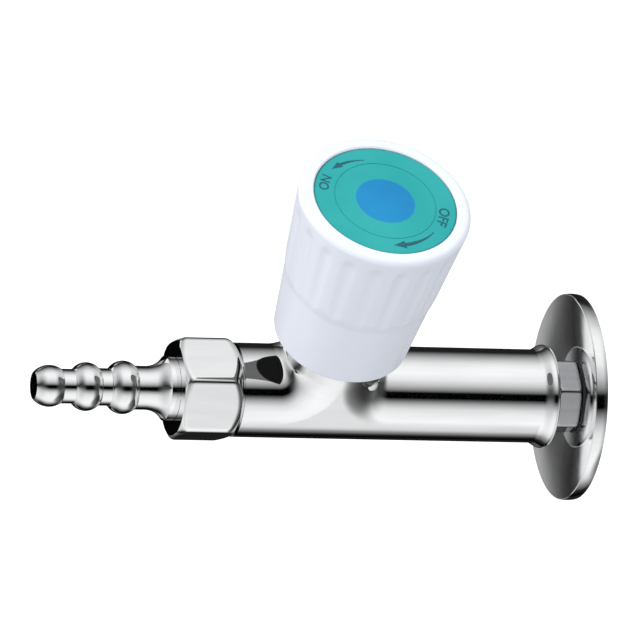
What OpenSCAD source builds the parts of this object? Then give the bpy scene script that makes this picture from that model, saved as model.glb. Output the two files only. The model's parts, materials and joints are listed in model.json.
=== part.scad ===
/* [Body] */
// Outside diameter of the pipe body and of its branch
body_d = 23.5; // [22.5:0.5:27]
// Length from the body's wall end to the spindle axis
body_back_len = 59; // [50:0.5:90]
// Length from the spindle axis to the shoulder at the union nut
body_front_len = 23; // [21:0.5:45]
// Length of the male thread under the union nut
spigot_len = 7.2; // [6:0.2:9]
// Inner radius of the bends that blend the branch into the pipe
crotch_r = 2.5; // [2:0.5:6]
// Radius of the rolled bead at the wall end
bead_r = 1.3; // [0.8:0.1:2]
// Bore of the inlet waterway
inlet_bore_d = 12; // [9:0.5:13]
// Bore of the outlet waterway
outlet_bore_d = 12; // [9:0.5:13]
// Bore of the two short passages that lead to and from the seat
passage_d = 6.8; // [5.6:0.2:7.2]
// Wall under the lower passage
passage_wall = 2.15; // [1.6:0.1:2.6]
// Thickness of the wall between the lower passage and the valve chamber
partition_t = 2.3; // [1.8:0.1:3]
// Bore of the valve chamber
chamber_d = 14.4; // [13.8:0.2:15.2]

/* [Wall end] */
// Outside diameter of the wall flange
flange_d = 52; // [44:1:70]
// Thickness of the wall flange at its rim
flange_rim_t = 3.1; // [2:0.1:5]
// Rise of the flange's face from its rim to its middle
flange_crown = 0.65; // [0.2:0.05:1.2]
// Rounding of the flange's rim
flange_edge = 0.4; // [0.2:0.05:0.8]
// Size of the hexagon on the wall nipple, across its flats
nipple_af = 17; // [17:1:21]
// Length of the nipple's hexagon
nipple_hex_len = 3.6; // [3:0.2:8]
// Turn of the nipple's hexagon about the pipe
nipple_turn = 34; // [0:1:59]
// Thread diameter of the wall nipple
nipple_thread_d = 16.66; // [15.5:0.02:16.8]
// Length of the nipple's thread that enters the wall
nipple_wall_len = 5.2; // [4:0.2:16]
// Length of the nipple's thread that enters the body
nipple_body_len = 9; // [6:0.5:12]
// Bore of the wall nipple
nipple_bore_d = 10.6; // [8:0.2:11.4]
// Thickness of the gasket between the nipple and the body
nipple_gasket_t = 0.5; // [0.4:0.1:1.5]

/* [Union nut] */
// Size of the union nut across its flats
nut_af = 24; // [24:1:30]
// Length of the union nut
nut_len = 15.1; // [14:0.1:20]
// Turn of the union nut about the pipe
nut_turn = 34; // [0:1:59]
// Thread diameter inside the union nut
nut_thread_d = 20.95; // [19.5:0.05:21]
// Thickness of the union nut's front wall
nut_front_t = 3.4; // [2.5:0.1:4]

/* [Hose nozzle] */
// Diameter of the nozzle's collar in the nut
collar_d = 16.1; // [14.5:0.1:17]
// Length of the collar that shows in front of the nut
collar_len = 2.3; // [1:0.1:5]
// Length of the flare from the collar to the shank
flare_len = 4.9; // [4:0.1:8]
// Diameter of the shank behind the olives
shank_d = 10.9; // [9.5:0.1:11.4]
// Distance from the nut's front to the peak of the first olive
first_olive = 12.95; // [12.5:0.05:16]
// Distance between the peaks of two olives
olive_pitch = 9.4; // [8.8:0.1:11]
// Diameter of the olive nearest to the nut
olive_back_d = 13.3; // [12:0.1:14]
// Diameter of the middle olive
olive_middle_d = 12.1; // [11.2:0.1:13]
// Diameter of the olive at the tip
olive_tip_d = 10.4; // [9.6:0.1:11]
// Radius of the rounded outline of the two larger olives
olive_round = 4.2; // [3.8:0.1:5]
// Diameter of the neck between the two larger olives
neck_back_d = 9.3; // [8.2:0.1:9.6]
// Diameter of the neck behind the tip olive
neck_tip_d = 8.6; // [7.6:0.1:8.8]
// Distance from the tip olive's peak to the cut tip
nose_len = 3.9; // [3:0.1:4.1]
// Bore of the nozzle
nozzle_bore_d = 5.2; // [3.6:0.2:5.2]
// Thickness of the gasket between the nozzle and the body
nozzle_gasket_t = 2; // [1:0.1:2.4]

/* [Headwork] */
// Diameter of the thread between the headwork and the branch
head_thread_d = 16.66; // [16.2:0.02:18]
// Length of that thread below the headwork's hexagon
head_thread_len = 12.5; // [11:0.1:14]
// Size of the headwork's hexagon across its flats
head_af = 20; // [19:1:22]
// Height of the headwork's hexagon
head_hex_h = 6.5; // [5.6:0.1:9]
// Space between the headwork's neck and the handle's splined insert
insert_space = 5; // [3:0.5:6]
// Diameter of the headwork's neck
head_neck_d = 14; // [12.5:0.5:16]
// Thickness of the gasket under the headwork
head_gasket_t = 1; // [0.5:0.1:2]
// Diameter of the spindle where it turns in the neck
spindle_d = 8; // [7.6:0.1:8.6]
// Diameter of the spindle's thread in the piston
lift_thread_d = 7; // [6.4:0.1:7.4]
// Travel of the piston for one turn of the handle
lift_lead = 1.5; // [1:0.25:1.5]
// Turns of the handle from shut to open
lift_turns = 1.5; // [0.5:0.25:1.5]
// Number of teeth on the spindle's spline
spline_teeth = 20; // [12:1:24]
// Diameter of the piston's round guide
piston_d = 13.1; // [13:0.1:13.6]
// Size of the piston's hexagon across its flats
piston_af = 11; // [10.9:0.1:11.2]
// Thickness of the rubber seat washer
seat_washer_t = 3; // [2:0.1:4]
// Bore of the valve seat
seat_bore_d = 7.2; // [6.4:0.2:8]

/* [Handle] */
// Height of the handle's lower edge above the pipe's axis
handle_base = 21.3; // [20:0.1:26]
// Height of the handle
handle_h = 47.3; // [45:0.1:55]
// Diameter of the handle at its lower edge
handle_bottom_d = 34; // [33:0.5:40]
// Diameter of the handle at its top, over the ribs
handle_top_d = 43.6; // [42:0.1:50]
// Wall of the handle's skirt
handle_wall = 2.2; // [1.6:0.1:3]
// Number of grip ribs
rib_count = 20; // [12:1:24]
// Height of the ribbed grip above the plain skirt
rib_h = 0.35; // [0.2:0.05:0.6]
// Height of the grip's lower end above the handle's lower edge
rib_start = 20; // [8:0.2:24]
// Radius of the grooves between the ribs
groove_r = 3; // [1.5:0.25:4]
// Depth of the grooves at their upper ends
groove_depth = 0.5; // [0.3:0.05:0.8]
// Distance of the grooves' upper ends below the rim's rounding
groove_drop = 5; // [4:0.5:10]
// Distance of the grooves' lower ends above the grip's lower end
groove_rise = 3.8; // [3.2:0.2:8]
// Turn of the grooves about the spindle
groove_turn = 3; // [0:1:17]
// Rounding of the handle's top edge
rim_round = 1.5; // [1:0.1:2.4]
// Diameter of the coloured index disc
disc_d = 35.7; // [30:0.1:37]
// Thickness of the index disc
disc_t = 1.3; // [1:0.1:1.6]
// Diameter of the fine ring on the index disc
disc_ring_d = 25.4; // [18:0.2:28]
// Number of webs inside the handle
web_count = 6; // [3:1:8]

/* [Clearances] */
// Radial clearance of a turning or sliding fit
run_gap = 0.05; // [0.02:0.01:0.1]
// Radial clearance between a male and a female thread
thread_gap = 0.1; // [0.05:0.01:0.2]
// Clearance of a piece that drops into its place
drop_gap = 0.15; // [0.1:0.05:0.3]

/* [Hidden] */
$fn = 96;
eps = 0.01;

// The pipe's axis is X with the wall at x = 0, and the spindle's axis is parallel to Z
body_r = body_d / 2;
body_end_x = -(flange_rim_t + flange_crown + nipple_hex_len + nipple_gasket_t);
spindle_x = body_end_x - body_back_len;
shoulder_x = spindle_x - body_front_len;
spigot_x = shoulder_x - spigot_len;
nut_end_gap = 0.4;
nut_back_x = shoulder_x - nut_end_gap;
nut_front_x = nut_back_x - nut_len;
spigot_r = nut_thread_d / 2 - thread_gap;

// Heights along the spindle's axis, from the lower passage up to the handle
passage_r = passage_d / 2;
low_z = -(body_r - passage_wall - passage_r);
floor_z = low_z + passage_r + partition_t;
seat_wall = 1.6;
seat_flange_w = 2.6;
seat_flange_t = 1;
seat_lip_h = 0.8;
seat_z = floor_z + seat_flange_t + seat_lip_h;
branch_tuck = 2.7;
branch_top_z = handle_base + branch_tuck;
head_z = branch_top_z + head_gasket_t;
head_low_z = head_z - head_thread_len;
head_neck_z = head_z + head_hex_h;
lift = lift_lead * lift_turns;

// Handle, disc and splined insert, from the top down
handle_top_z = handle_base + handle_h;
disc_sunk = 0.4;
recess_z = handle_top_z - disc_t - disc_sunk;
cap_t = 3;
cavity_top_z = recess_z - cap_t;
insert_af = 12;
insert_len = 11.5;
screw_r = 1.9;
screw_head_r = 3.6;
screw_head_h = 2.6;
screw_tip = 2;
screw_seat_z = cavity_top_z - 1.3;
insert_top_z = screw_seat_z - 2.1;
insert_z = insert_top_z - insert_len;
head_top_z = insert_z - insert_space;
hub_r = 8.5;
handle_taper = (handle_top_d / 2 - rib_h - handle_bottom_d / 2) / handle_h;

// Spindle and piston inside the headwork
spindle_r = spindle_d / 2;
thrust_rise = 4;
shoulder_z = head_z + thrust_rise;
thrust_t = 0.8;
end_play = 0.05;
collar_top_z = shoulder_z - thrust_t - end_play;
collar_t = 1.8;
collar_z = collar_top_z - collar_t;
collar_w = 1.3;
collar_r = spindle_r + collar_w;
piston_end_gap = 0.4;
piston_top_z = collar_z - piston_end_gap - lift;
piston_hex_len = 5;
piston_guide_z = piston_top_z - piston_hex_len;
guide_top_z = piston_guide_z + lift + drop_gap;
piston_r = piston_d / 2;
piston_cup_z = seat_z + seat_washer_t;
lift_thread_r = lift_thread_d / 2;
spindle_low_z = head_low_z + 1.5;
washer_screw_r = 1.5;
washer_cup_wall = 0.6;
oring_r = 0.6;
oring_groove = 1.6;
oring_pitch = 4;
washer_screw_len = 3.8;
piston_oring_z = piston_guide_z - 2.2;
ring_z = head_top_z + 0.1;
ring_t = 0.9;
ring_depth = 0.75;

// Spline between the spindle and the insert
spline_r = spindle_r - run_gap;
spline_depth = 0.5;
spindle_top_z = insert_top_z - 0.7;

function hex_r(af) = af / 2 / cos(30);
function skirt_r(z) = handle_bottom_d / 2 + handle_taper * (z - handle_base);

// Radius of the arc that is level at one end and climbs rise over run
function arc_radius(run, rise) = (run * run + rise * rise) / (2 * rise);

// Turns a profile of (radius, x) points about the pipe's axis
module about_pipe() {
    rotate([0, 90, 0])
    rotate_extrude()
    children();
}

// Turns a profile of (radius, z) points about the spindle's axis
module about_spindle() {
    translate([spindle_x, 0, 0])
    rotate_extrude()
    children();
}

// A rectangle of a turned profile, between two radii and two stations
module band(r1, r2, s1, s2) {
    translate([r1, s1])
    square([r2 - r1, s2 - s1]);
}

// A ring with a round outline about the pipe's axis, such as an olive or a bead
module olive(x, d, outline_r) {
    about_pipe()
    intersection() {
        translate([d / 2 - outline_r, x])
        circle(outline_r);
        band(0, d, x - d, x + d);
    }
}

// The concave rounding between a neck of radius r and the round outline of an olive
module neck_rounding(r, x, d, outline_r, side, q = 0.5) {
    centre_r = d / 2 - outline_r;
    reach = sqrt(pow(outline_r + q, 2) - pow(r + q - centre_r, 2));
    s = x + side * reach;
    about_pipe()
    difference() {
        polygon([[centre_r, s], [r + q, s], [centre_r, x]]);
        translate([r + q, s])
        circle(q);
    }
}

// A hexagonal bar along the pipe's axis
module pipe_hex(af, x1, x2, turn) {
    rotate([turn, 0, 0])
    translate([x1, 0, 0])
    rotate([0, 90, 0])
    cylinder(r = hex_r(af), h = x2 - x1, $fn = 6);
}

// The turned outline of a hexagon whose corners are cut back by a cone at each end
module hex_outline(af, s1, s2, r1, r2, slope1 = tan(30), slope2 = tan(30)) {
    r = hex_r(af) + 1;
    polygon([
        [0, s1],
        [r1, s1],
        [r, s1 + (r - r1) * slope1],
        [r, s2 - (r - r2) * slope2],
        [r2, s2],
        [0, s2],
    ]);
}

module spindle_hex(af, z1, z2) {
    translate([spindle_x, 0, z1])
    cylinder(r = hex_r(af), h = z2 - z1, $fn = 6);
}

module hose_nozzle() {
    collar_r = collar_d / 2;
    shank_r = shank_d / 2;
    neck_back_r = neck_back_d / 2;
    neck_tip_r = neck_tip_d / 2;
    flange_r = spigot_r - 0.7;
    flange_front_x = nut_front_x + nut_front_t;
    flange_back_x = spigot_x - nozzle_gasket_t;
    flare_x = nut_front_x - collar_len - flare_len;
    back_x = nut_front_x - first_olive;
    middle_x = back_x - olive_pitch;
    tip_olive_x = middle_x - olive_pitch;
    tip_x = tip_olive_x - nose_len;
    flare_arc = arc_radius(flare_len, collar_r - shank_r);
    color("silver")
    difference() {
        union() {
            about_pipe() {
                band(0, flange_r, flange_front_x, flange_back_x);
                band(0, collar_r, nut_front_x - collar_len, flange_front_x + eps);
                difference() {
                    band(0, collar_r, flare_x, nut_front_x - collar_len + eps);
                    translate([shank_r + flare_arc, flare_x])
                    circle(flare_arc);
                }
                band(0, shank_r, back_x, flare_x + eps);
                band(0, neck_back_r, middle_x, back_x);
                band(0, neck_tip_r, tip_olive_x, middle_x);
            }
            olive(back_x, olive_back_d, olive_round);
            olive(middle_x, olive_middle_d, olive_round);
            olive(tip_olive_x, olive_tip_d, olive_tip_d / 2);
            neck_rounding(shank_r, back_x, olive_back_d, olive_round, 1);
            neck_rounding(neck_back_r, back_x, olive_back_d, olive_round, -1);
            neck_rounding(neck_back_r, middle_x, olive_middle_d, olive_round, 1);
            neck_rounding(neck_tip_r, middle_x, olive_middle_d, olive_round, -1);
            neck_rounding(neck_tip_r, tip_olive_x, olive_tip_d, olive_tip_d / 2, 1);
        }
        about_pipe() {
            band(0, nozzle_bore_d / 2, tip_x - 1, flange_back_x + 1);
            band(0, olive_tip_d, tip_x - olive_tip_d, tip_x);
        }
    }
}

module nozzle_gasket() {
    color("dimgray")
    about_pipe()
    band(outlet_bore_d / 2, spigot_r - 0.9, spigot_x - nozzle_gasket_t, spigot_x);
}

module union_nut() {
    front_r = nut_af / 2 - 0.15;
    back_r = nut_af / 2 - 0.5;
    color("silver")
    difference() {
        intersection() {
            pipe_hex(nut_af, nut_front_x, nut_back_x, nut_turn);
            about_pipe()
            hex_outline(nut_af, nut_front_x, nut_back_x, front_r, back_r, slope2 = 1);
        }
        about_pipe() {
            band(0, collar_d / 2 + drop_gap, nut_front_x - 1, nut_front_x + nut_front_t + eps);
            band(0, nut_thread_d / 2, nut_front_x + nut_front_t, nut_back_x + 1);
        }
    }
}

// Pipe, branch and the two bends that blend them, before anything is bored
module body_outside() {
    bend_r = crotch_r + body_r;
    bead_x = body_end_x - 1;
    about_pipe() {
        band(0, body_r, shoulder_x, body_end_x);
        band(0, spigot_r, spigot_x, shoulder_x + eps);
    }
    difference() {
        union() {
            olive(bead_x, body_d + 2 * bead_r, bead_r);
            neck_rounding(body_r, bead_x, body_d + 2 * bead_r, bead_r, -1, 0.9);
        }
        about_pipe()
        band(0, body_r + 3 * bead_r, body_end_x, body_end_x + 2 * bead_r);
    }
    translate([spindle_x, 0, 0])
    cylinder(r = body_r, h = branch_top_z);
    for (side = [0, 1])
        translate([spindle_x + (1 - 2 * side) * bend_r, 0, bend_r])
        rotate([90, 0, 0])
        rotate([0, 0, 180 + 90 * side])
        rotate_extrude(angle = 90)
        translate([bend_r, 0])
        circle(body_r);
}

module valve_body() {
    chamber_r = chamber_d / 2;
    inlet_x = body_end_x - nipple_body_len - 1;
    inlet_wall = 2.8;
    outlet_wall = 2.6;
    inlet_wall_x = spindle_x + chamber_r + inlet_wall;
    outlet_wall_x = spindle_x - chamber_r - outlet_wall;
    low_x = spindle_x - seat_bore_d / 2 - 0.6;
    high_z = floor_z + seat_flange_t + seat_lip_h + passage_r;
    reach = 4;
    color("silver")
    difference() {
        body_outside();
        about_pipe() {
            band(0, nipple_thread_d / 2 + thread_gap, inlet_x, body_end_x + 1);
            band(0, inlet_bore_d / 2, inlet_wall_x, inlet_x + eps);
            band(0, outlet_bore_d / 2, spigot_x - 1, outlet_wall_x);
        }
        about_spindle() {
            band(0, head_thread_d / 2 + thread_gap, head_low_z - 0.3, branch_top_z + 1);
            band(0, chamber_r, floor_z, head_low_z);
            band(0, seat_bore_d / 2 + seat_wall, low_z, floor_z + eps);
        }
        translate([low_x, 0, low_z])
        rotate([0, 90, 0])
        cylinder(r = passage_r, h = inlet_wall_x + reach - low_x);
        translate([outlet_wall_x - reach, 0, high_z])
        rotate([0, 90, 0])
        cylinder(r = passage_r, h = spindle_x - chamber_r / 2 - outlet_wall_x + reach);
    }
}

// Screwed-in seat ring with a raised lip, which the rubber washer closes on
module valve_seat() {
    bore_r = seat_bore_d / 2;
    color("gold")
    about_spindle() {
        band(bore_r, bore_r + seat_wall - thread_gap, floor_z - partition_t + 0.2, floor_z + eps);
        band(bore_r, bore_r + seat_flange_w, floor_z, floor_z + seat_flange_t);
        polygon([
            [bore_r, floor_z + seat_flange_t - eps],
            [bore_r + seat_wall, floor_z + seat_flange_t - eps],
            [bore_r + 1, seat_z],
            [bore_r + 0.2, seat_z],
            [bore_r, seat_z - 0.2],
        ]);
    }
}

module nipple_gasket() {
    color("dimgray")
    about_pipe()
    band(
        nipple_thread_d / 2 + thread_gap, nipple_af / 2 + 0.6,
        body_end_x, body_end_x + nipple_gasket_t
    );
}

module wall_nipple() {
    hex_x = body_end_x + nipple_gasket_t;
    seat_x = hex_x + nipple_hex_len;
    face_r = nipple_af / 2 - 0.1;
    thread_r = nipple_thread_d / 2;
    lead_in = 0.8;
    relief = 0.25;
    undercut = 1;
    color("silver")
    difference() {
        union() {
            intersection() {
                pipe_hex(nipple_af, hex_x, seat_x, nipple_turn);
                about_pipe()
                hex_outline(nipple_af, hex_x, seat_x, face_r, face_r, slope2 = 0);
            }
            about_pipe()
            polygon([
                [0, body_end_x - nipple_body_len],
                [thread_r - lead_in, body_end_x - nipple_body_len],
                [thread_r, body_end_x - nipple_body_len + lead_in],
                [thread_r, body_end_x - undercut],
                [thread_r - relief, body_end_x - undercut],
                [thread_r - relief, 0],
                [thread_r, 0],
                [thread_r, nipple_wall_len - lead_in],
                [thread_r - lead_in, nipple_wall_len],
                [0, nipple_wall_len],
            ]);
        }
        about_pipe()
        band(0, nipple_bore_d / 2, body_end_x - nipple_body_len - 1, nipple_wall_len + 1);
    }
}

// Turned disc with a crowned face, a rounded rim and a shallow relief at the back
module wall_flange() {
    r = flange_d / 2;
    edge = flange_edge;
    seat_r = hex_r(nipple_af) + 0.8;
    face_r = r - edge;
    crown_r = arc_radius(face_r - seat_r, flange_crown);
    middle_x = -flange_rim_t - flange_crown;
    relief = 0.6;
    color("silver")
    about_pipe()
    difference() {
        union() {
            intersection() {
                band(0, face_r, middle_x, 0);
                union() {
                    band(0, seat_r, middle_x, 0);
                    translate([seat_r, middle_x + crown_r])
                    circle(crown_r, $fn = 2000);
                }
            }
            band(face_r - 1, r, edge - flange_rim_t, 0);
            translate([face_r, edge - flange_rim_t])
            circle(edge);
        }
        band(-crown_r, nipple_thread_d / 2 + drop_gap, middle_x - 1, crown_r);
        band(seat_r, r - 2.6, -relief, 1);
    }
}

// Threaded headwork: guides the piston below, carries the spindle above
module headwork_body() {
    thread_r = head_thread_d / 2;
    face_r = head_af / 2 - 0.2;
    color("goldenrod")
    difference() {
        union() {
            about_spindle() {
                polygon([
                    [0, head_low_z],
                    [thread_r - 0.7, head_low_z],
                    [thread_r, head_low_z + 0.7],
                    [thread_r, head_z + eps],
                    [0, head_z + eps],
                ]);
                polygon([
                    [0, head_neck_z - eps],
                    [head_neck_d / 2, head_neck_z - eps],
                    [head_neck_d / 2, head_top_z - 0.8],
                    [head_neck_d / 2 - 0.8, head_top_z],
                    [0, head_top_z],
                ]);
            }
            intersection() {
                spindle_hex(head_af, head_z, head_neck_z);
                about_spindle()
                hex_outline(head_af, head_z, head_neck_z, face_r, face_r);
            }
        }
        about_spindle() {
            band(0, piston_r + run_gap, head_low_z - 1, guide_top_z);
            band(0, collar_r + drop_gap, collar_z - 0.3, shoulder_z);
            band(0, spindle_r + run_gap, shoulder_z - eps, head_top_z + 1);
        }
        spindle_hex(piston_af + 2 * run_gap, guide_top_z - eps, collar_z - 0.3 + eps);
    }
}

module headwork_gasket() {
    color("dimgray")
    about_spindle()
    band(head_thread_d / 2 + thread_gap, head_af / 2 - 0.4, branch_top_z, head_z);
}

// Outline of the spline, or of the hole that fits it with a clearance
module spline_outline(gap) {
    step = 360 / spline_teeth;
    tip_r = spline_r + gap;
    root_r = tip_r - spline_depth;
    polygon([
        for (i = [0 : spline_teeth - 1])
        for (corner = [[-0.32, root_r], [-0.16, tip_r], [0.16, tip_r], [0.32, root_r]])
        let (a = step * (i + corner[0]))
        corner[1] * [cos(a), sin(a)]
    ]);
}

function upper_oring_z() = head_top_z - oring_pitch;
function lower_oring_z() = upper_oring_z() - oring_pitch;

module spindle_oring(z) {
    color("black")
    about_spindle()
    translate([spindle_r - oring_r, z])
    circle(oring_r, $fn = 48);
}

module upper_oring() {
    spindle_oring(upper_oring_z());
}

module lower_oring() {
    spindle_oring(lower_oring_z());
}

// Spindle that turns but doesn't rise: its left-hand thread lifts the piston
module spindle() {
    neck_z = ring_z + ring_t + 0.1;
    half = oring_groove / 2;
    color("goldenrod")
    difference() {
        union() {
            about_spindle() {
                band(0, lift_thread_r, spindle_low_z, collar_z + eps);
                band(0, collar_r, collar_z, collar_top_z);
                difference() {
                    band(0, spindle_r, collar_top_z - eps, neck_z + 0.8);
                    for (z = [lower_oring_z(), upper_oring_z()])
                        band(spindle_r - 2 * oring_r, spindle_r + 1, z - half, z + half);
                    band(spindle_r - ring_depth - 0.05, spindle_r + 1, ring_z - 0.05, neck_z);
                }
                band(0, spline_r - spline_depth, neck_z, insert_z);
            }
            translate([spindle_x, 0, insert_z - 1])
            linear_extrude(spindle_top_z - insert_z + 1)
            spline_outline(0);
        }
        about_spindle()
        band(0, screw_r + run_gap, insert_z + 1, spindle_top_z + 1);
    }
}

module thrust_washer() {
    color("ivory")
    about_spindle()
    band(spindle_r + run_gap, collar_r, collar_top_z, collar_top_z + thrust_t);
}

// Open spring ring in the spindle's groove, on top of the headwork's neck
module retaining_ring() {
    mouth = 2.4;
    color("gray")
    difference() {
        about_spindle()
        band(spindle_r - ring_depth, spindle_r + 1.6, ring_z, ring_z + ring_t);
        translate([spindle_x + spindle_r / 2, -mouth / 2, ring_z - 1])
        cube([spindle_r + 2, mouth, ring_t + 2]);
    }
}

// Piston with the washer's cup below, a round guide and a hexagon that keeps it from turning
module piston() {
    cup_r = seat_washer_r() + washer_cup_wall;
    cup_h = 1.8;
    web_z = piston_cup_z + 1.6;
    neck_r = 4.9;
    guide_z = head_low_z - 1.5;
    half = oring_groove / 2;
    color("goldenrod")
    difference() {
        union() {
            about_spindle() {
                difference() {
                    band(0, cup_r, piston_cup_z - cup_h, web_z);
                    band(-1, seat_washer_r() + 0.05, piston_cup_z - cup_h - 1, piston_cup_z);
                }
                band(0, neck_r, web_z - eps, guide_z + eps);
                difference() {
                    band(0, piston_r, guide_z, piston_guide_z);
                    band(piston_r - 2 * oring_r, piston_r + 1, piston_oring_z - half, piston_oring_z + half);
                }
            }
            spindle_hex(piston_af, piston_guide_z - eps, piston_top_z);
        }
        about_spindle() {
            band(0, lift_thread_r + run_gap, spindle_low_z - lift - 0.5, piston_top_z + 1);
            band(0, washer_screw_r + run_gap, piston_cup_z - 1, piston_cup_z + washer_screw_len + 0.2);
        }
    }
}

function seat_washer_r() = seat_bore_d / 2 + 2;

module piston_oring() {
    color("black")
    about_spindle()
    translate([piston_r - oring_r, piston_oring_z])
    circle(oring_r, $fn = 48);
}

module seat_washer() {
    color("black")
    about_spindle()
    band(washer_screw_r + 0.1, seat_washer_r(), seat_z, piston_cup_z);
}

module washer_screw() {
    head_r = 2.8;
    head_h = 1.5;
    slot = 0.8;
    color("gold")
    difference() {
        about_spindle() {
            band(0, head_r, seat_z - head_h, seat_z);
            band(0, washer_screw_r, seat_z - eps, piston_cup_z + washer_screw_len);
        }
        translate([spindle_x - head_r - 1, -slot / 2, seat_z - head_h - 0.1])
        cube([2 * head_r + 2, slot, slot]);
    }
}

// Tapered skirt with a rounded rim, the ribbed grip and the recess for the disc
module handle_shell() {
    rib_z = handle_base + rib_start;
    rib_ramp = 1.2;
    edge = 0.7;
    round_z = handle_top_z - rim_round;
    rim_r = skirt_r(round_z) + rib_h;
    recess_r = disc_d / 2 + drop_gap;
    rotate_extrude() {
        difference() {
            union() {
                polygon([
                    [0, handle_base],
                    [skirt_r(handle_base) - edge, handle_base],
                    [skirt_r(handle_base + edge), handle_base + edge],
                    [skirt_r(rib_z), rib_z],
                    [skirt_r(rib_z + rib_ramp) + rib_h, rib_z + rib_ramp],
                    [rim_r, round_z],
                    [rim_r - rim_round, round_z],
                    [rim_r - rim_round, handle_top_z],
                    [0, handle_top_z],
                ]);
                translate([rim_r - rim_round, round_z])
                circle(rim_round);
            }
            polygon([
                [-1, handle_base - eps],
                [skirt_r(handle_base) - handle_wall, handle_base - eps],
                [skirt_r(cavity_top_z) - handle_wall, cavity_top_z],
                [-1, cavity_top_z],
            ]);
            polygon([
                [-1, recess_z],
                [recess_r, recess_z],
                [recess_r, handle_top_z - 0.3],
                [recess_r + 0.4, handle_top_z + 0.1],
                [-1, handle_top_z + 0.1],
            ]);
        }
    }
}

// One groove of the grip, round at both ends and shallower at its lower end
module grip_groove() {
    low_depth = groove_depth / 2;
    low_z = handle_base + rib_start + groove_rise;
    high_z = handle_top_z - rim_round - groove_drop;
    low_r = skirt_r(low_z) + rib_h + groove_r - low_depth;
    high_r = skirt_r(high_z) + rib_h + groove_r - groove_depth;
    lean = atan((high_r - low_r) / (high_z - low_z));
    run = (high_z - low_z) / cos(lean);
    translate([low_r, 0, low_z])
    rotate([0, lean, 0]) {
        cylinder(r = groove_r, h = run, $fn = 40);
        for (s = [0, run])
            translate([0, 0, s])
            sphere(groove_r, $fn = 40);
    }
}

module handle() {
    web_t = 1.6;
    web_rise = 4;
    web_z = insert_z + web_rise;
    color("white")
    translate([spindle_x, 0, 0])
    difference() {
        union() {
            difference() {
                handle_shell();
                for (i = [0 : rib_count - 1])
                    rotate([0, 0, groove_turn + 360 / rib_count * i])
                    grip_groove();
            }
            translate([0, 0, insert_z])
            cylinder(r = hub_r, h = cavity_top_z - insert_z + eps);
            for (i = [0 : web_count - 1])
                rotate([0, 0, 360 / web_count * i])
                translate([hub_r - 1, -web_t / 2, web_z])
                cube([skirt_r(web_z) - handle_wall / 2 - hub_r + 1, web_t, cavity_top_z - web_z + eps]);
        }
        translate([0, 0, insert_z - 1])
        cylinder(r = hex_r(insert_af), h = insert_len + 1, $fn = 6);
        cylinder(r = screw_r + 0.3, h = handle_top_z);
        translate([0, 0, screw_seat_z])
        cylinder(r = screw_head_r + 0.3, h = handle_h);
    }
}

module handle_insert() {
    color("gold")
    translate([spindle_x, 0, insert_z])
    linear_extrude(insert_len)
    difference() {
        circle(hex_r(insert_af), $fn = 6);
        spline_outline(run_gap);
    }
}

module handle_screw() {
    slot_len = 4;
    slot_w = 0.9;
    slot_depth = 1.2;
    color("gray")
    difference() {
        about_spindle() {
            band(0, screw_r, insert_z + screw_tip, screw_seat_z + eps);
            band(0, screw_head_r, screw_seat_z, screw_seat_z + screw_head_h);
        }
        for (turn = [0, 90])
            translate([spindle_x, 0, screw_seat_z + screw_head_h])
            rotate([0, 0, turn])
            cube([slot_len, slot_w, 2 * slot_depth], center = true);
    }
}

// Press-in disc with a fine ring on its face and a clip that enters the screw's hole
module index_disc() {
    r = disc_d / 2;
    top_z = recess_z + disc_t;
    ring_r = disc_ring_d / 2;
    clip_r = screw_head_r + 0.3 - run_gap;
    color("mediumturquoise")
    about_spindle() {
        difference() {
            polygon([
                [0, recess_z],
                [r, recess_z],
                [r, top_z - 0.2],
                [r - 0.2, top_z],
                [0, top_z],
            ]);
            band(ring_r - 0.15, ring_r + 0.15, top_z - 0.12, top_z + 1);
        }
        band(clip_r - 0.8, clip_r, screw_seat_z + screw_head_h + 0.3, recess_z + eps);
    }
}

hose_nozzle();
nozzle_gasket();
union_nut();
valve_body();
valve_seat();
nipple_gasket();
wall_nipple();
wall_flange();
headwork_body();
headwork_gasket();
spindle();
upper_oring();
lower_oring();
thrust_washer();
retaining_ring();
piston();
piston_oring();
seat_washer();
washer_screw();
handle();
handle_insert();
handle_screw();
index_disc();
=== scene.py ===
import json
import math

import bpy
import numpy as np
from mathutils import Matrix, Vector


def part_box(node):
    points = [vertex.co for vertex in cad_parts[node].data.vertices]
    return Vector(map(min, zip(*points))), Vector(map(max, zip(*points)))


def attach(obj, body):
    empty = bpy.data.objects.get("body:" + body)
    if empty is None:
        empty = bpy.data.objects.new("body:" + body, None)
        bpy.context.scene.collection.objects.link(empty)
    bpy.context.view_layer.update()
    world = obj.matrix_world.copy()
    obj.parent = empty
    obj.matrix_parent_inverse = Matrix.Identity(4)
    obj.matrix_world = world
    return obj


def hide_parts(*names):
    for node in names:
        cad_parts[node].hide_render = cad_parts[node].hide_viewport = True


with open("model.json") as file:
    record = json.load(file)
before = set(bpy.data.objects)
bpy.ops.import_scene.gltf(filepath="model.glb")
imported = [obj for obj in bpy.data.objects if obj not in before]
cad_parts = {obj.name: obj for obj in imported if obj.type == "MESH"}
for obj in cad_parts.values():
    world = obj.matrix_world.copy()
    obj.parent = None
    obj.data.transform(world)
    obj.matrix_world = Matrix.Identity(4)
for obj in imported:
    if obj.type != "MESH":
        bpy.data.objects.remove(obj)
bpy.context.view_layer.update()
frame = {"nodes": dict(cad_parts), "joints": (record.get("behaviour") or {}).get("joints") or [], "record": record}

MM = 0.001
spindle = Vector(next(j["pos_m"] for j in frame["joints"] if j["name"] == "handle_turn"))
SPINDLE_X = spindle.x / MM


# Nodes

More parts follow.
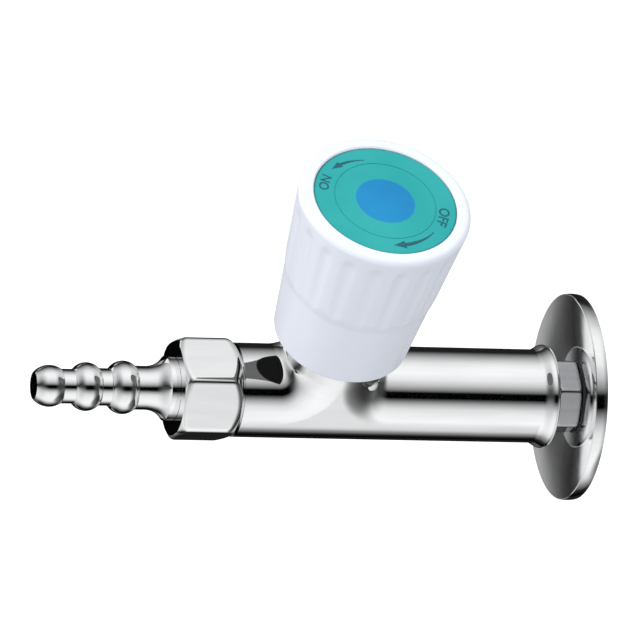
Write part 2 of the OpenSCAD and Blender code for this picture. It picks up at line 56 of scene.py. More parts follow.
class Graph:
    """A short way to write a node tree"""

    def __init__(self, tree):
        self.tree = tree
        tree.nodes.clear()

    def node(self, kind, inputs=(), **settings):
        n = self.tree.nodes.new(kind)
        for key, value in settings.items():
            setattr(n, key, value)
        for key, value in dict(inputs).items():
            self.put(n.inputs[key], value)
        return n

    def put(self, socket, value):
        if isinstance(value, bpy.types.NodeSocket):
            self.tree.links.new(value, socket)
        elif socket.type == "RGBA":
            socket.default_value = rgba(value)
        else:
            socket.default_value = value

    def math(self, operation, a, b=0.0, c=0.0):
        return self.node("ShaderNodeMath", {0: a, 1: b, 2: c}, operation=operation).outputs[0]

    def step(self, value, low, high):
        """0 below low, 1 above high, smooth between them"""
        inputs = {0: value, 1: low, 2: high, 3: 0.0, 4: 1.0}
        return self.node("ShaderNodeMapRange", inputs, interpolation_type="SMOOTHSTEP").outputs[0]

    def ramp(self, share, stops):
        n = self.node("ShaderNodeValToRGB", {0: share})
        elements = n.color_ramp.elements
        elements.remove(elements[-1])
        elements[0].position = stops[0][0]
        elements[0].color = rgba(stops[0][1])
        for place, colour in stops[1:]:
            elements.new(place).color = rgba(colour)
        return n.outputs[0]

    def between(self, noise, dark, light):
        """A colour from dark to light over the values that noise takes most"""
        return self.ramp(noise, [(0.3, dark), (0.7, light)])

    def spread(self, value, amount, base):
        """The base where value is 0, and the amount more where it is 1"""
        return self.math("MULTIPLY_ADD", value, amount, base)

    def mix(self, share, a, b):
        return self.node("ShaderNodeMix", {0: share, 6: a, 7: b}, data_type="RGBA").outputs[2]

    def noise(self, place, scale, detail=3.0, stretch=(1, 1, 1)):
        vector = self.node("ShaderNodeMapping", {"Vector": place, "Scale": stretch}).outputs[0]
        inputs = {"Vector": vector, "Scale": scale, "Detail": detail}
        return self.node("ShaderNodeTexNoise", inputs).outputs[0]

    def bump(self, height, strength, distance):
        inputs = {"Height": height, "Strength": strength, "Distance": distance}
        return self.node("ShaderNodeBump", inputs).outputs[0]


def rgba(colour):
    return (colour, colour, colour, 1.0) if isinstance(colour, (int, float)) else (*colour, 1.0)


# Materials

def material(name):
    m = bpy.data.materials.new(name)
    m.use_nodes = True
    g = Graph(m.node_tree)
    out = g.node("ShaderNodeOutputMaterial")
    bsdf = g.node("ShaderNodeBsdfPrincipled")
    g.tree.links.new(bsdf.outputs[0], out.inputs[0])
    place = g.node("ShaderNodeTexCoord").outputs["Object"]
    return m, g, bsdf, place


def finish(g, bsdf, **values):
    for key, value in values.items():
        g.put(bsdf.inputs[key.replace("_", " ")], value)


def chrome(name, dark, light):
    m, g, bsdf, place = material(name)
    wipe = g.noise(place, scale=60.0, detail=4.0, stretch=(1, 6, 6))
    haze = g.noise(place, scale=900.0, detail=2.0)
    rough = g.spread(haze, amount=0.02, base=g.spread(wipe, amount=0.05, base=0.015))
    swell = g.bump(g.noise(place, scale=45.0, detail=1.0), strength=0.04, distance=0.0006)
    finish(g, bsdf, Base_Color=g.between(wipe, dark, light), Metallic=1.0, Roughness=rough, Normal=swell)
    return m


def brass():
    m, g, bsdf, place = material("machined_brass")
    cut = g.noise(place, scale=300.0, stretch=(1, 1, 14))
    tint = g.between(cut, dark=(0.62, 0.45, 0.20), light=(0.80, 0.62, 0.32))
    rough = g.spread(cut, amount=0.25, base=0.15)
    lines = g.bump(cut, strength=0.25, distance=0.0001)
    finish(g, bsdf, Base_Color=tint, Metallic=1.0, Roughness=rough, Normal=lines)
    return m


def steel():
    m, g, bsdf, place = material("zinc_steel")
    grain = g.noise(place, scale=700.0, detail=4.0, stretch=(1, 8, 1))
    tint = g.between(grain, dark=(0.40, 0.41, 0.43), light=(0.60, 0.61, 0.62))
    rough = g.spread(grain, amount=0.2, base=0.25)
    lines = g.bump(grain, strength=0.2, distance=0.0001)
    finish(g, bsdf, Base_Color=tint, Metallic=1.0, Roughness=rough, Normal=lines)
    return m


def rubber(name, dark, light):
    m, g, bsdf, place = material(name)
    grain = g.noise(place, scale=1500.0)
    rough = g.spread(grain, amount=0.2, base=0.6)
    pores = g.bump(grain, strength=0.3, distance=0.0001)
    finish(g, bsdf, Base_Color=g.between(grain, dark, light), Roughness=rough, Normal=pores)
    return m


def moulded(name, dark, light, rough):
    m, g, bsdf, place = material(name)
    cloud = g.noise(place, scale=28.0, detail=2.0)
    grain = g.noise(place, scale=2600.0, detail=2.0)
    tint = g.between(cloud, dark, light)
    finish(g, bsdf, Base_Color=tint, Roughness=g.spread(grain, amount=0.12, base=rough),
           Normal=g.bump(grain, strength=0.12, distance=0.00005), IOR=1.5)
    return m


BLUE_R = 7.4
BLUE_SOFT = 0.25
# The disc's radius, and the width of the painted shade at its rim
DISC_R = 17.85
DISC_SHADE_BAND = 0.6


def printed_disc():
    """Green face with a round blue middle, and painted shade that darkens it towards its rim"""
    m, g, bsdf, place = material("disc_green")
    x, y, _ = g.node("ShaderNodeSeparateXYZ", {0: place}).outputs
    u = g.math("SUBTRACT", x, spindle.x)
    r = g.math("SQRT", g.math("ADD", g.math("MULTIPLY", u, u), g.math("MULTIPLY", y, y)))
    cloud = g.noise(place, scale=60.0)
    grain = g.noise(place, scale=2600.0, detail=2.0)
    green = g.between(cloud, dark=(0.019, 0.365, 0.362), light=(0.032, 0.415, 0.404))
    blue = g.between(cloud, dark=(0.008, 0.225, 0.500), light=(0.011, 0.265, 0.555))
    painted_shade_green = (0.015, 0.22, 0.24)
    tint = g.mix(g.step(r, (BLUE_R - BLUE_SOFT) * MM, (BLUE_R + BLUE_SOFT) * MM), blue, green)
    # Painted shade: the green turns darker over a narrow band at the rim, where the disc meets the handle's rim
    rim_shade_mask = g.step(r, (DISC_R - DISC_SHADE_BAND) * MM, DISC_R * MM)
    tint = g.mix(g.math("MULTIPLY", rim_shade_mask, 0.5), tint, painted_shade_green)
    finish(g, bsdf, Base_Color=tint, Roughness=g.spread(grain, amount=0.12, base=0.34),
           Normal=g.bump(grain, strength=0.08, distance=0.00004), IOR=1.5, Specular_IOR_Level=0.3)
    return m


def ink():
    m, g, bsdf, place = material("disc_print")
    grain = g.noise(place, scale=1800.0, detail=2.0)
    tint = g.between(grain, dark=(0.010, 0.10, 0.14), light=(0.016, 0.15, 0.18))
    finish(g, bsdf, Base_Color=tint, Roughness=g.spread(grain, amount=0.2, base=0.45),
           Normal=g.bump(grain, strength=0.1, distance=0.00003))
    return m


MATERIALS = {
    "chrome": chrome("chrome_plate", (0.80, 0.81, 0.82), (0.87, 0.875, 0.88)),
    "raw_brass": brass(),
    "steel": steel(),
    "black_rubber": rubber("black_rubber", (0.012, 0.012, 0.012), (0.03, 0.03, 0.031)),
    "fibre_rubber": rubber("fibre_rubber", (0.045, 0.045, 0.047), (0.09, 0.088, 0.085)),
    "nylon": moulded("nylon", (0.80, 0.77, 0.68), (0.86, 0.84, 0.77), rough=0.4),
    "handle_white": moulded("handle_white", (0.775, 0.80, 0.885), (0.81, 0.835, 0.91), rough=0.32),
    "disc_green": printed_disc(),
}
INK = ink()
# Painted shade: a darker copy of the chrome for the wall nipple, so that its hexagon looks darker than the rest of
# the chrome
NIPPLE_SHADED_CHROME = chrome("chrome_painted_shade", (0.36, 0.37, 0.38), (0.44, 0.45, 0.46))

node_slot = {s["node"]: s["material_slot"] for s in frame["record"]["subparts"]}
node_body = {n: body for body, nodes in frame["record"]["behaviour"]["bodies"].items() for n in nodes}
for name, obj in frame["nodes"].items():
    obj.data.materials.clear()
    obj.data.materials.append(MATERIALS[node_slot[name]])


# Smooth skins: a CAD piece's own triangles, with its outer faces drawn again as fine grids.
# They work in millimetres, with x measured from the spindle's axis.

WELD = 1e-6
TOUCH = 0.001
ROUND_STEPS = 192
FINE_STEPS = 384
CURVE_STEPS = 12


def cad_triangles(node):
    mesh = frame["nodes"][node].data
    points = np.empty(len(mesh.vertices) * 3)
    mesh.vertices.foreach_get("co", points)
    corners = np.empty(len(mesh.loops), int)
    mesh.loops.foreach_get("vertex_index", corners)
    normals = np.empty(len(mesh.loops) * 3)
    mesh.corner_normals.foreach_get("vector", normals)
    places = points.reshape(-1, 3)[corners].reshape(-1, 3, 3) / MM
    return places - (SPINDLE_X, 0, 0), normals.reshape(-1, 3, 3)


def grid(points, normals):
    """Two triangles for each cell of a grid of points, with their corner normals"""
    cells = []
    for a in (points, np.broadcast_to(normals, points.shape)):
        q = a[:-1, :-1], a[1:, :-1], a[1:, 1:], a[:-1, 1:]
        halves = (q[0], q[1], q[2]), (q[0], q[2], q[3])
        cells.append(np.concatenate([np.stack(h, axis=2).reshape(-1, 3, 3) for h in halves]))
    return cells


def surface(points):
    """A grid that closes on itself in its second direction, with outward normals from its own slopes"""
    along = np.gradient(points, axis=0)
    ring = points[:, :-1]
    around = np.roll(ring, -1, axis=1) - np.roll(ring, 1, axis=1)
    n = np.cross(along, np.concatenate([around, around[:, :1]], axis=1))
    outward = points - ring.mean(axis=1, keepdims=True)
    n *= np.sign((n * outward).sum(axis=2).mean())
    return grid(points, n / np.linalg.norm(n, axis=2, keepdims=True))


def end_face(ring, hole_r, way):
    """The flat end between a closed outline about the pipe's axis and a round hole"""
    r = np.hypot(ring[:, 1], ring[:, 2])[:, None]
    inner = ring * (1, 0, 0) + ring * (0, 1, 1) / r * hole_r
    return grid(np.stack([ring, inner]), (way, 0, 0))


def skin(node, outside, patches, look=None):
    """A piece that stands for a CAD node, with the patches in place of what outside() marks on it"""
    places, normals = cad_triangles(node)
    kept = ~outside(places)
    parts = [(places[kept], normals[kept])] + patches
    places, normals = (np.concatenate([p[i] for p in parts]) for i in (0, 1))
    face = np.cross(places[:, 1] - places[:, 0], places[:, 2] - places[:, 0])
    turned = (face * normals.sum(axis=1)).sum(axis=1) < 0
    for a in (places, normals):
        a[turned] = a[turned][:, ::-1]
    flat = (places.reshape(-1, 3) + (SPINDLE_X, 0, 0)) * MM
    welded = np.round(flat / WELD).astype(np.int64)
    _, first, where = np.unique(welded, axis=0, return_index=True, return_inverse=True)
    corners = where.reshape(-1, 3)
    whole = (corners != np.roll(corners, 1, axis=1)).all(axis=1)
    mesh = bpy.data.meshes.new("smooth_" + node)
    mesh.from_pydata(flat[first].tolist(), [], corners[whole].tolist())
    mesh.shade_smooth()
    mesh.normals_split_custom_set(normals[whole].reshape(-1, 3).tolist())
    look = look or MATERIALS[node_slot[node]]
    obj = add_piece("smooth_" + node, mesh, look, node_body[node])
    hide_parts(node)


def add_piece(name, mesh, look, body):
    mesh.materials.clear()
    mesh.materials.append(look)
    obj = bpy.data.objects.new(name, mesh)
    bpy.context.scene.collection.objects.link(obj)
    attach(obj, body)
    return obj


def fine_ends(low, high, count):
    """Stations that lie closer together near both ends"""
    share = np.linspace(-1, 1, count)
    share = np.sign(share) * (1 - (1 - np.abs(share)) ** 2)
    return (low + high) / 2 + share * (high - low) / 2


def ease(t):
    t = np.clip(t, 0, 1)
    return t * t * (3 - 2 * t)


def circle(count):
    return np.linspace(0, 2 * math.pi, count + 1)


def about_pipe(x, r, angle):
    """Points on rings about the pipe's axis, where x and r have a row for each ring"""
    y = r * np.cos(angle)
    return np.stack([np.broadcast_to(x, y.shape), y, r * np.sin(angle)], axis=2)


def box_x(node, end):
    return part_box(node)[end].x / MM - SPINDLE_X


# Tee: the pipe, the branch and the two bends between them as one surface, and the bead at the wall end

BODY_R = 11.75
BEND_R = 14.25
BEND_STEPS = 40
PIPE_FRONT = -23.0
PIPE_BACK = 54.8
BRANCH_TOP = 24.0
BEAD_R = 1.3
BEAD_BEFORE_END = 1.0
BEAD_STEPS = 24

# A CAD triangle is left out where it lies this little below or above the surface drawn here
BELOW_SKIN = 0.4
SKIN_GAP = 0.02


def web_distance(p):
    """Distance in the pipe's upright plane to its axis, the branch's axis and the web between the bends"""
    u, z = np.abs(p[..., 0]), p[..., 2]
    corner = np.maximum(0, BEND_R - np.hypot(u - BEND_R, z - BEND_R))
    plain = np.where((z >= BEND_R) & (u < z), u, np.abs(z))
    return np.where((u < BEND_R) & (z > 0) & (z < BEND_R), corner, plain)


def tee_outside(places):
    depth = np.hypot(web_distance(places), places[..., 1]) - BODY_R
    x, z = places[..., 0], places[..., 2]
    near = (depth > -BELOW_SKIN) & (depth < SKIN_GAP) & (x > PIPE_FRONT - TOUCH)
    bead = (depth > -SKIN_GAP) & (x > PIPE_BACK - TOUCH)
    ends = np.abs(x - PIPE_FRONT), np.abs(z - BRANCH_TOP), np.abs(x - box_x("valve_body", 1))
    end = np.any([(e < TOUCH).all(axis=1) for e in ends], axis=0)
    return (near | bead).all(axis=1) & ~end


def bead_patch():
    """The bead rises softly from the pipe, and its other side is round"""
    end = box_x("valve_body", 1)
    peak = end - BEAD_BEFORE_END
    rise = np.linspace(PIPE_BACK, peak, BEAD_STEPS + 1)
    fall = np.linspace(peak, end, BEAD_STEPS // 3 + 1)[1:]
    soft = BEAD_R * ease((rise - PIPE_BACK) / (peak - PIPE_BACK))
    round_side = np.sqrt(BEAD_R ** 2 - (fall - peak) ** 2)
    x = np.concatenate([rise, fall])[:, None]
    height = np.concatenate([soft, round_side])[:, None]
    return surface(about_pipe(x, BODY_R + height, circle(ROUND_STEPS)))


def half_tube(stations, crowns):
    """Half a tube along stations (x, z), where each crown is the direction of its middle line"""
    turn = np.linspace(-math.pi / 2, math.pi / 2, ROUND_STEPS // 2 + 1)
    crowns = np.array(crowns, float)[:, :, None]
    across = np.broadcast_to(np.sin(turn), (len(crowns), len(turn)))
    n = np.stack([crowns[:, 0] * np.cos(turn), across, crowns[:, 1] * np.cos(turn)], axis=2)
    centre = np.array([(x, 0, z) for x, z in stations], float)[:, None]
    return grid(centre + BODY_R * n, n)


def tee_patches():
    arc = np.linspace(0, math.pi / 2, BEND_STEPS + 1)
    reach = BEND_R * (1 - np.sin(arc))
    below = [PIPE_FRONT, *-reach, *reach[-2::-1], PIPE_BACK]
    patches = [bead_patch(), half_tube([(x, 0) for x in below], [(0, -1)] * len(below))]
    for s, end in ((-1, PIPE_FRONT), (1, PIPE_BACK)):
        bend = [(s * BEND_R * (1 - math.sin(a)), BEND_R * (1 - math.cos(a))) for a in arc]
        patches.append(half_tube([(end, 0), (s * BEND_R, 0)], [(0, 1)] * 2))
        patches.append(half_tube(bend, [(s * math.sin(a), math.cos(a)) for a in arc]))
        patches.append(half_tube([(0, BEND_R), (0, BRANCH_TOP)], [(s, 0)] * 2))
        for side in (-1, 1):
            top = np.array([(x, side * BODY_R, z) for x, z in bend])
            patches.append(grid(np.stack([top * (1, 1, 0), top]), (0, side, 0)))
    return patches


# Hexagons with rounded corners and chamfers. An outline is found by halving the span of radii that
# reaches from SEARCH_LOW times the width across flats to twice that.

CHAMFER_SLOPE = math.tan(math.radians(30))
SEARCH_LOW = 0.4
HALVINGS = 30


def soft_max(a, b, width):
    h = np.maximum(width - np.abs(a - b), 0) / width
    return np.maximum(a, b) + h * h * width / 4


def hexagon(af, turn, rows, cuts, corner, crown):
    """A hexagon about the pipe's axis through the rows. Each cut is a cone (x, r, slope)"""
    angle = circle(FINE_STEPS)

    def depth(r, x):
        y, z = r * np.cos(angle), r * np.sin(angle)
        total = None
        for a in np.radians(turn + 60 * np.arange(6)):
            across = z * math.cos(a) - y * math.sin(a)
            face = y * math.cos(a) + z * math.sin(a) - af / 2 + crown * (across / (af / 2)) ** 2
            total = face if total is None else soft_max(total, face, corner)
        for x0, r0, slope in cuts:
            cone = (r - r0 - (x - x0) / slope) / math.hypot(1, 1 / slope)
            total = soft_max(total, cone, corner)
        return total

    rows = np.array(rows)[:, None]
    low = np.full((len(rows), len(angle)), SEARCH_LOW * af)
    high = low * 2
    for _ in range(HALVINGS):
        middle = (low + high) / 2
        inside = depth(middle, rows) < 0
        low, high = np.where(inside, middle, low), np.where(inside, high, middle)
    return about_pipe(rows, low, angle)


NUT_AF = 24.0
NUT_TURN = 34.0
NUT_HOLE_R = 8.2
NUT_THREAD_R = 10.475
NUT_THREAD_WALL = 0.2
NUT_FRONT_R = 11.85
NUT_BACK_R = 11.5
NUT_BACK_SLOPE = -1.0
NUT_CORNER = 1.0
NUT_CROWN = 0.12
NUT_ROWS = 61


def nut_outside(places):
    return (np.hypot(places[..., 1], places[..., 2]) > NUT_THREAD_R + NUT_THREAD_WALL).any(axis=1)


def nut_patches():
    front, back = box_x("union_nut", 0), box_x("union_nut", 1)
    cuts = [(front, NUT_FRONT_R, CHAMFER_SLOPE), (back, NUT_BACK_R, NUT_BACK_SLOPE)]
    points = hexagon(NUT_AF, NUT_TURN, fine_ends(front, back, NUT_ROWS), cuts, NUT_CORNER, NUT_CROWN)
    return [surface(points), end_face(points[0], NUT_HOLE_R, -1), end_face(points[-1], NUT_THREAD_R, 1)]


HEX_AF = 17.0
HEX_TURN = 34.0
HEX_LEN = 3.6
HEX_FRONT_R = 8.4
HEX_CORNER = 0.7
HEX_CROWN = 0.06
HEX_ROWS = 31
HEX_LAP = 0.25
STUB_R = 8.33
LEAD_IN = 0.8
PITCH = 1.337
THREAD_DEPTH = 0.8
THREAD_ROWS = 84


def nipple_outside(places):
    x, r = places[..., 0] + SPINDLE_X, np.hypot(places[..., 1], places[..., 2])
    stub = (x > -TOUCH) & (r > STUB_R - LEAD_IN - TOUCH)
    level = np.ptp(x, axis=1) < TOUCH
    return (r > STUB_R + TOUCH).any(axis=1) | (stub.all(axis=1) & ~level)


def nipple_patches():
    front = box_x("nipple_gasket", 1)
    wall_end = box_x("wall_nipple", 1)
    cuts = [(front, HEX_FRONT_R, CHAMFER_SLOPE)]
    rows = fine_ends(front, front + HEX_LEN, HEX_ROWS)
    points = hexagon(HEX_AF, HEX_TURN, rows, cuts, HEX_CORNER, HEX_CROWN)
    angle = circle(ROUND_STEPS)
    x = np.linspace(0, wall_end + SPINDLE_X, THREAD_ROWS)[:, None] - SPINDLE_X
    phase = ((x + SPINDLE_X) / PITCH - angle / (2 * math.pi)) % 1
    groove = THREAD_DEPTH * (0.5 - 0.5 * np.cos(2 * math.pi * phase))
    r = np.minimum(STUB_R - groove, STUB_R - LEAD_IN + (wall_end - x))
    r[-1] = STUB_R - LEAD_IN
    front_face = end_face(points[0], STUB_R, -1)
    back_face = end_face(points[-1], STUB_R - HEX_LAP, 1)
    return [surface(points), front_face, back_face, surface(about_pipe(x, r, angle))]


# Flange: its rim a little crowned, so that light runs along it

RIM_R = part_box("wall_flange")[1].z / MM
RIM_T = 3.1
RIM_EDGE = 0.4
RIM_CROWN = 0.15
RIM_ROWS = 25
RELIEF_R = RIM_R - 2.6


def flange_outside(places):
    x, r = places[..., 0] + SPINDLE_X, np.hypot(places[..., 1], places[..., 2])
    rim = (r > RIM_R - RIM_EDGE - TOUCH).all(axis=1)
    wall_side = ((np.abs(x) < TOUCH) & (r > RELIEF_R - TOUCH)).all(axis=1)
    return rim | wall_side


def flange_patches():
    half = RIM_T / 2
    x = np.linspace(RIM_EDGE - RIM_T, 0, RIM_ROWS)
    r = RIM_R - RIM_CROWN * ((x + half) / half) ** 2
    turn = np.linspace(math.pi / 2, 0, CURVE_STEPS + 1)[:-1]
    edge_x = RIM_EDGE - RIM_T - RIM_EDGE * np.sin(turn)
    edge_r = RIM_R - RIM_EDGE + (r[0] - RIM_R + RIM_EDGE) * np.cos(turn)
    x = np.concatenate([edge_x, x])[:, None] - SPINDLE_X
    r = np.concatenate([edge_r, r])[:, None]
    points = about_pipe(x, r, circle(FINE_STEPS))
    return [surface(points), end_face(points[-1], RELIEF_R, 1)]


# Handle: tapered skirt, soft step, soft grooves and a rounded rim

HANDLE_BASE = 21.3
HANDLE_TOP = 68.6
HANDLE_STEPS = 480
HANDLE_SKIN = 1.2
BOTTOM_R = 17.0
TAPER = 0.09408
RIB_Z = 40.4
RIB_RAMP = 4.0
RIB_H = 0.35
RIM_ROUND = 1.5
BASE_ROUND = 0.7
GROOVES = 20
GROOVE_TURN = 3.0
GROOVE_LOW = 45.1
GROOVE_HIGH = 62.1
GROOVE_DEPTH = 0.42
GROOVE_HALF = 1.95
GROOVE_WIDENS = 0.35
GROOVE_END = 1.6

# Heights at which the skirt is drawn, as (low, high, count), closer together where its form changes
SKIRT_ROWS = [(HANDLE_BASE + BASE_ROUND, RIB_Z - 1, 12), (RIB_Z - 0.5, 47, 33), (48, 58, 9), (58.5, 65, 33),
              (65.5, HANDLE_TOP - RIM_ROUND, 4)]


def skirt(z):
    return BOTTOM_R + TAPER * (z - HANDLE_BASE)


def handle_outside(places):
    x, y, z = (places[..., i] for i in range(3))
    rim_r = skirt(HANDLE_TOP - RIM_ROUND) + RIB_H - RIM_ROUND
    level = np.ptp(z, axis=1) < TOUCH
    return (np.hypot(x, y) > np.minimum(skirt(z) - HANDLE_SKIN, rim_r - TOUCH)).all(axis=1) & ~level


def handle_patches():
    rim_z = HANDLE_TOP - RIM_ROUND
    z = np.concatenate([np.linspace(*row) for row in SKIRT_ROWS])[:, None]
    angle = circle(HANDLE_STEPS)
    r = skirt(z) + RIB_H * ease((z - RIB_Z) / RIB_RAMP)
    share = np.clip((z - GROOVE_LOW) / (GROOVE_HIGH - GROOVE_LOW), 0, 1)
    depth = GROOVE_DEPTH * (0.5 + 0.5 * share)
    half_width = GROOVE_HALF + GROOVE_WIDENS * share
    past = (np.maximum(GROOVE_LOW - z, 0) + np.maximum(z - GROOVE_HIGH, 0)) / GROOVE_END
    step = 2 * math.pi / GROOVES
    off = (angle - math.radians(GROOVE_TURN) + step / 2) % step - step / 2
    t2 = ((off * r) ** 2 + past ** 2) / half_width ** 2
    r = r - depth * np.maximum(1 - t2, 0) ** 2
    curve = np.linspace(0, math.pi / 2, CURVE_STEPS + 1)
    low_r = skirt(HANDLE_BASE + BASE_ROUND) - BASE_ROUND * (1 - np.sin(curve[:-1, None]))
    low_z = HANDLE_BASE + BASE_ROUND * (1 - np.cos(curve[:-1, None]))
    top_r = skirt(rim_z) + RIB_H - RIM_ROUND * (1 - np.cos(curve[1:, None]))
    top_z = rim_z + RIM_ROUND * np.sin(curve[1:, None])
    r = np.concatenate([np.broadcast_to(a, (len(a), len(angle))) for a in (low_r, r, top_r)])
    z = np.broadcast_to(np.concatenate([low_z, z, top_z]), r.shape)
    return [surface(np.stack([r * np.cos(angle), r * np.sin(angle), z], axis=2))]


skin("valve_body", tee_outside, tee_patches())
skin("union_nut", nut_outside, nut_patches())
skin("wall_nipple", nipple_outside, nipple_patches(), NIPPLE_SHADED_CHROME)
skin("wall_flange", flange_outside, flange_patches())
skin("handle", handle_outside, handle_patches())


# Print on the disc: ON and OFF, read clockwise, and an arrow towards each

INK_T = 0.02
CAPITAL_SHARE = 0.7
STROKE_SWELL = 0.06
SHAFT_STEPS = 10
SHAFT_SWELL = 1.4
TAIL_HALF = 0.12
TIP_HALF = 0.01
disc_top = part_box("index_disc")[1].z / MM


def lay_print(name, flat, faces):
    """A thin piece on the disc from points (angle in degrees, radius, height over the disc) in millimetres"""
    a, r, z = np.radians(flat[:, 0]), flat[:, 1], flat[:, 2]
    points = np.stack([r * np.cos(a) + SPINDLE_X, r * np.sin(a), disc_top + z], axis=1) * MM
    mesh = bpy.data.meshes.new(name)
    mesh.from_pydata(points.tolist(), [], faces)
    add_piece(name, mesh, INK, "handle")


def word(text, centre, radius, height):
    curve = bpy.data.curves.new(text, "FONT")
    curve.body = text
    curve.size = height / CAPITAL_SHARE
    curve.align_x = "CENTER"
    curve.offset = STROKE_SWELL
    curve.extrude = INK_T / 2
    obj = bpy.data.objects.new(text, curve)
    bpy.context.scene.collection.objects.link(obj)
    mesh = bpy.data.meshes.new_from_object(obj.evaluated_get(bpy.context.evaluated_depsgraph_get()))
    bpy.data.objects.remove(obj)
    flat = np.array([v.co for v in mesh.vertices])
    across = centre - np.degrees(flat[:, 0] / radius)
    points = np.stack([across, radius - height / 2 + flat[:, 1], flat[:, 2] + INK_T / 2], axis=1)
    lay_print("print_" + text.lower(), points, [tuple(p.vertices) for p in mesh.polygons])


def arrow(name, route, widths):
    """A ribbon through (angle, radius) stations, as wide to each side as widths say"""
    count = len(route)
    sides = [[(a, r + s * w, z) for (a, r), w in zip(route, widths)] for s in (-1, 1) for z in (0, INK_T)]
    points = np.array(sides).reshape(-1, 3)
    faces = []
    for i in range(count - 1):
        for p, q in ((1, 3), (3, 2), (2, 0), (0, 1)):
            faces.append((p * count + i, q * count + i, q * count + i + 1, p * count + i + 1))
    faces += [(0, count, 3 * count, 2 * count), tuple(k * count + count - 1 for k in (0, 2, 3, 1))]
    lay_print(name, points, faces)


def arrow_shape(tail, tip, tail_r, tip_r, half_width, head_half, head_share):
    """Stations and half widths of an arrow that swells from its tail, with a plain head"""
    shaft = np.linspace(0, 1 - head_share, SHAFT_STEPS)
    shares = [*shaft, 1 - head_share, 1]
    widths = [*(TAIL_HALF + half_width * ease(shaft * SHAFT_SWELL)), head_half, TIP_HALF]
    return [(tail + (tip - tail) * t, tail_r + (tip_r - tail_r) * t) for t in shares], widths


word("ON", centre=158.0, radius=15.5, height=2.4)
word("OFF", centre=-20.0, radius=14.8, height=2.6)
arrow("print_arrow_on", *arrow_shape(tail=101.0, tip=138.0, tail_r=14.0, tip_r=15.6,
                                     half_width=0.3, head_half=1.0, head_share=0.3))
arrow("print_arrow_off", *arrow_shape(tail=-45.0, tip=-93.0, tail_r=14.5, tip_r=15.0,
                                      half_width=0.42, head_half=1.25, head_share=0.24))


# Studio. What the chrome mirrors is a ring of light and dark round the pipe, given as (angle, value),
# where 0 looks to the front, 90 up and -90 down. The ring changes towards both ends of the pipe.

RING_MIDDLE = [(-180, 0.01), (-92, 0.0), (-80, 0.02), (-66, 0.28), (-54, 0.74), (-42, 0.96), (-26, 1.0),
               (-8, 0.93), (8, 0.78), (20, 0.45), (30, 0.12), (35, 0.0), (49, 0.0), (56, 0.24), (68, 0.58),
               (82, 0.86), (98, 1.0), (114, 0.98), (128, 0.84), (146, 0.5), (162, 0.2), (173, 0.03),
               (180, 0.01)]
RING_NOZZLE = [(-180, 0.5), (-130, 0.55), (-90, 0.85), (-54, 0.88), (-20, 0.74), (6, 0.56), (26, 0.28),
               (42, 0.07), (62, 0.03), (80, 0.14), (100, 0.36), (130, 0.6), (160, 0.75), (180, 0.65)]
RING_WALL = [(-180, 0.5), (-130, 0.7), (-98, 0.5), (-76, 0.03), (-40, 0.05), (0, 0.13), (30, 0.05),
             (70, 0.06), (96, 0.16), (120, 0.6), (150, 0.75), (180, 0.5)]

# Behind and below, where the flange's face looks, the light changes along the pipe instead
BACK = [(-1.0, 0.5), (-0.46, 0.95), (-0.425, 0.8), (-0.405, 0.06), (-0.37, 0.025), (-0.34, 0.05),
        (-0.30, 0.13), (-0.26, 0.28), (-0.22, 0.38), (-0.15, 0.42), (-0.05, 0.15), (0.25, 0.01),
        (0.42, 0.02), (0.6, 0.5), (1.0, 0.6)]

# Where each of them takes over from the middle ring: x of the direction, or the angle in degrees
NOZZLE_SPAN = (-0.2, -0.85)
WALL_SPAN = (0.36, 0.82)
BACK_SPAN = (-94, -104)

# A soft dim spot low on the wall's side, which the bend next to the pipe mirrors
DIM_WAY = (0.66, -0.55, -0.51)
DIM_SPAN = (0.89, 0.99)
DIM_SHARE = 0.75
DIM_VALUE = 0.04

# Strength of what mirrors see, and the colour of the plain light
MIRROR_STRENGTH = 1.1
SKY = (0.955, 0.98, 1.0)

OBJECT_MIDDLE = (-0.06, 0.0, 0.015)
FLOOR_Z = -0.16
FLOOR_SIZE = 12.0
FLOOR_GLOW = 0.55

# Only mirrors see these: a black card beside the union nut's front, in metres from there,
# and a dark form inside the handle, its inset in millimetres
FLAG_AHEAD = 0.028
FLAG_BEHIND = 0.042
FLAG_BELOW = 0.040
FLAG_R = 0.042
FLAG_GLOW = 0.002
SHADE_INSET = 0.3
SHADE_SIDE_GLOW = 0.15
SHADE_END_GLOW = 0.01


